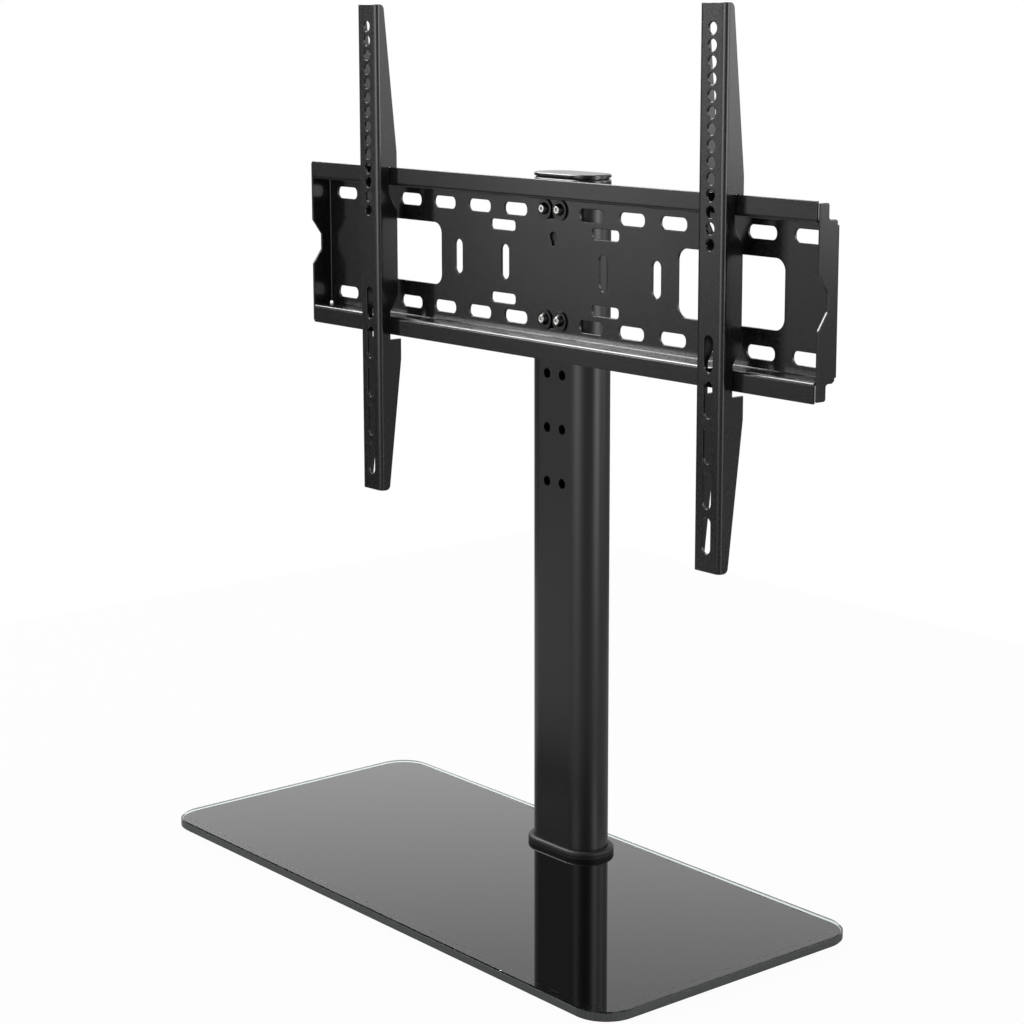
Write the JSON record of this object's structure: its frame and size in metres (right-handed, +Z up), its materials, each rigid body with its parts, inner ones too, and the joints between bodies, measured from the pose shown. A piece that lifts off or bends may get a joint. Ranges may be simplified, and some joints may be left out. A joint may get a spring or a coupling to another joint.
{
  "type": "tv stand with mount",
  "caption": "Tabletop screen stand: black glass base, oval pillar with rows of holes, slotted wall plate with folded lips and upright hooked arms that slide along it.",
  "frame": {"origin": "middle of the base on the surface that the feet rest on", "axes": "+X to the right seen from the screen side, +Y towards the back of the stand, +Z up"},
  "size_m": [0.66, 0.28, 0.7583],
  "materials": {
    "black_glass": "8 mm tempered glass, painted black underneath, polished with a ground arris",
    "black_powder_coat": "satin black powder coat with a fine grain",
    "black_aluminium": "satin black anodised extrusion",
    "black_plastic": "fine satin moulded plastic",
    "black_rubber": "matt soft rubber",
    "white_nylon": "plain nylon",
    "zinc_steel": "bright zinc plate",
    "dark_steel": "black oxide"
  },
  "bodies": {
    "stand": {"glass_base": "black_glass", "foot_front_left": "black_rubber", "foot_front_right": "black_rubber", "foot_rear_left": "black_rubber", "foot_rear_right": "black_rubber", "under_plate": "black_powder_coat", "under_gasket": "black_rubber", "glass_bush_front_left": "white_nylon", "glass_bush_front_right": "white_nylon", "glass_bush_rear_left": "white_nylon", "glass_bush_rear_right": "white_nylon", "base_screw_front_left": "zinc_steel", "base_screw_front_right": "zinc_steel", "base_screw_rear_left": "zinc_steel", "base_screw_rear_right": "zinc_steel", "pillar_gasket": "black_rubber", "pillar": "black_aluminium", "collar": "black_plastic", "pillar_cap": "black_plastic", "upper_nut_plate": "zinc_steel", "lower_nut_plate": "zinc_steel", "wall_plate": "black_powder_coat", "washer_upper_left": "dark_steel", "washer_upper_right": "dark_steel", "washer_lower_left": "dark_steel", "washer_lower_right": "dark_steel", "plate_bolt_upper_left": "dark_steel", "plate_bolt_upper_right": "dark_steel", "plate_bolt_lower_left": "dark_steel", "plate_bolt_lower_right": "dark_steel"},
    "left_arm": {"left_arm": "black_powder_coat"},
    "right_arm": {"right_arm": "black_powder_coat"}
  },
  "joints": [
    {"name": "left_arm_slide", "type": "slide", "parent": "stand", "child": "left_arm", "axis": [1, 0, 0], "range_m": [-0.0935, 0.203]},
    {"name": "right_arm_slide", "type": "slide", "parent": "stand", "child": "right_arm", "axis": [1, 0, 0], "range_m": [-0.211, 0.0855]}
  ]
}
